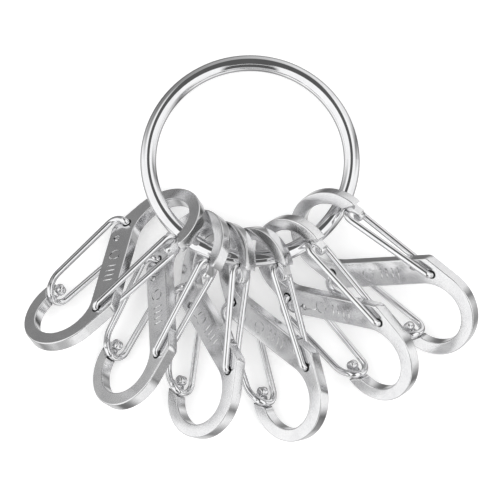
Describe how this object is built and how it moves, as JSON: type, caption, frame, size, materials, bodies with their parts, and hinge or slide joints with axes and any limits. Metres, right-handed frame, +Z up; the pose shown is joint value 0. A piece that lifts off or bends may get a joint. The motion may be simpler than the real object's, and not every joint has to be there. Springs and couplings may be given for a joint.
{
  "type": "carabiner keyring",
  "caption": "Closed round-wire key ring carrying flat stainless S-clips, each with two sprung wire gates: one on the ring, one for keys.",
  "frame": {"origin": "on the surface the keyring lies on, under the middle of its overall box", "axes": "+Z up from that surface; +Y from the clips' free ends towards the ring; +X to the right across the fan of clips"},
  "size_m": [0.0785, 0.0677, 0.0152],
  "materials": {
    "ring_steel": "mirror-polished stainless steel wire",
    "plate_steel": "tumbled and polished stainless steel plate with bright rounded edges",
    "wire_steel": "bright drawn spring steel wire"
  },
  "bodies": {
    "ring": {"ring": "ring_steel"},
    "clip_1": {"clip_body_1": "plate_steel"},
    "clip_2": {"clip_body_2": "plate_steel"},
    "clip_3": {"clip_body_3": "plate_steel"},
    "clip_4": {"clip_body_4": "plate_steel"},
    "clip_5": {"clip_body_5": "plate_steel"},
    "clip_6": {"clip_body_6": "plate_steel"},
    "upper_gate_1": {"upper_gate_1": "wire_steel"},
    "upper_gate_2": {"upper_gate_2": "wire_steel"},
    "upper_gate_3": {"upper_gate_3": "wire_steel"},
    "upper_gate_4": {"upper_gate_4": "wire_steel"},
    "upper_gate_5": {"upper_gate_5": "wire_steel"},
    "upper_gate_6": {"upper_gate_6": "wire_steel"},
    "lower_gate_1": {"lower_gate_1": "wire_steel"},
    "lower_gate_2": {"lower_gate_2": "wire_steel"},
    "lower_gate_3": {"lower_gate_3": "wire_steel"},
    "lower_gate_4": {"lower_gate_4": "wire_steel"},
    "lower_gate_5": {"lower_gate_5": "wire_steel"},
    "lower_gate_6": {"lower_gate_6": "wire_steel"}
  },
  "joints": [
    {"name": "clip_swing_1", "type": "hinge", "parent": "ring", "child": "clip_1", "pos_m": [-0.0144, 0.00485, 0.00607], "axis": [-0.4759, 0.5756, 0.6649], "range_deg": [-50, 10]},
    {"name": "clip_swing_2", "type": "hinge", "parent": "ring", "child": "clip_2", "pos_m": [-0.00984, 0.00058, 0.00679], "axis": [-0.6675, 0.3439, 0.6604], "range_deg": [-50, 10]},
    {"name": "clip_swing_3", "type": "hinge", "parent": "ring", "child": "clip_3", "pos_m": [-0.00484, -0.00164, 0.00717], "axis": [-0.6999, 0.1009, 0.707], "range_deg": [-10, 50]},
    {"name": "clip_swing_4", "type": "hinge", "parent": "ring", "child": "clip_4", "pos_m": [0.00087, -0.00222, 0.00726], "axis": [-0.6694, -0.1914, 0.7178], "range_deg": [-15, 40]},
    {"name": "clip_swing_5", "type": "hinge", "parent": "ring", "child": "clip_5", "pos_m": [0.00662, -0.0009, 0.00704], "axis": [-0.5903, -0.437, 0.6786], "range_deg": [-50, 50]},
    {"name": "clip_swing_6", "type": "hinge", "parent": "ring", "child": "clip_6", "pos_m": [0.01306, 0.00369, 0.00626], "axis": [-0.4437, -0.4589, 0.7697], "range_deg": [-50, 50]},
    {"name": "upper_gate_swing_1", "type": "hinge", "parent": "clip_1", "child": "upper_gate_1", "pos_m": [-0.02614, -0.01201, 0.01226], "axis": [-0.4759, 0.5756, 0.6649], "range_deg": [0, 25], "stiffness_Nm_per_rad": 0.01, "springref_deg": -5.73},
    {"name": "upper_gate_swing_2", "type": "hinge", "parent": "clip_2", "child": "upper_gate_2", "pos_m": [-0.01552, -0.01966, 0.01158], "axis": [-0.6675, 0.3439, 0.6604], "range_deg": [0, 25], "stiffness_Nm_per_rad": 0.01, "springref_deg": -5.73},
    {"name": "upper_gate_swing_3", "type": "hinge", "parent": "clip_3", "child": "upper_gate_3", "pos_m": [-0.00324, -0.02226, 0.01169], "axis": [-0.6999, 0.1009, 0.707], "range_deg": [0, 25], "stiffness_Nm_per_rad": 0.01, "springref_deg": -5.73},
    {"name": "upper_gate_swing_4", "type": "hinge", "parent": "clip_4", "child": "upper_gate_4", "pos_m": [0.01013, -0.02125, 0.01083], "axis": [-0.6694, -0.1914, 0.7178], "range_deg": [0, 25], "stiffness_Nm_per_rad": 0.01, "springref_deg": -5.73},
    {"name": "upper_gate_swing_5", "type": "hinge", "parent": "clip_5", "child": "upper_gate_5", "pos_m": [0.02261, -0.01347, 0.01286], "axis": [-0.5903, -0.437, 0.6786], "range_deg": [0, 25], "stiffness_Nm_per_rad": 0.01, "springref_deg": -5.73},
    {"name": "upper_gate_swing_6", "type": "hinge", "parent": "clip_6", "child": "upper_gate_6", "pos_m": [0.0315, -0.00497, 0.01173], "axis": [-0.4437, -0.4589, 0.7697], "range_deg": [0, 25], "stiffness_Nm_per_rad": 0.01, "springref_deg": -5.73},
    {"name": "lower_gate_swing_1", "type": "hinge", "parent": "clip_1", "child": "lower_gate_1", "pos_m": [-0.02095, 0.00382, 0.00228], "axis": [-0.4759, 0.5756, 0.6649], "range_deg": [0, 25], "stiffness_Nm_per_rad": 0.01, "springref_deg": -5.73},
    {"name": "lower_gate_swing_2", "type": "hinge", "parent": "clip_2", "child": "lower_gate_2", "pos_m": [-0.01534, -0.00236, 0.00276], "axis": [-0.6675, 0.3439, 0.6604], "range_deg": [0, 25], "stiffness_Nm_per_rad": 0.01, "springref_deg": -5.73},
    {"name": "lower_gate_swing_3", "type": "hinge", "parent": "clip_3", "child": "lower_gate_3", "pos_m": [-0.01035, -0.00674, 0.00244], "axis": [-0.6999, 0.1009, 0.707], "range_deg": [0, 25], "stiffness_Nm_per_rad": 0.01, "springref_deg": -5.73},
    {"name": "lower_gate_swing_4", "type": "hinge", "parent": "clip_4", "child": "lower_gate_4", "pos_m": [-0.00242, -0.0091, 0.00236], "axis": [-0.6694, -0.1914, 0.7178], "range_deg": [0, 25], "stiffness_Nm_per_rad": 0.01, "springref_deg": -5.73},
    {"name": "lower_gate_swing_5", "type": "hinge", "parent": "clip_5", "child": "lower_gate_5", "pos_m": [0.00696, -0.00799, 0.00277], "axis": [-0.5903, -0.437, 0.6786], "range_deg": [0, 25], "stiffness_Nm_per_rad": 0.01, "springref_deg": -5.73},
    {"name": "lower_gate_swing_6", "type": "hinge", "parent": "clip_6", "child": "lower_gate_6", "pos_m": [0.01441, -0.00378, 0.00259], "axis": [-0.4437, -0.4589, 0.7697], "range_deg": [0, 25], "stiffness_Nm_per_rad": 0.01, "springref_deg": -5.73}
  ]
}
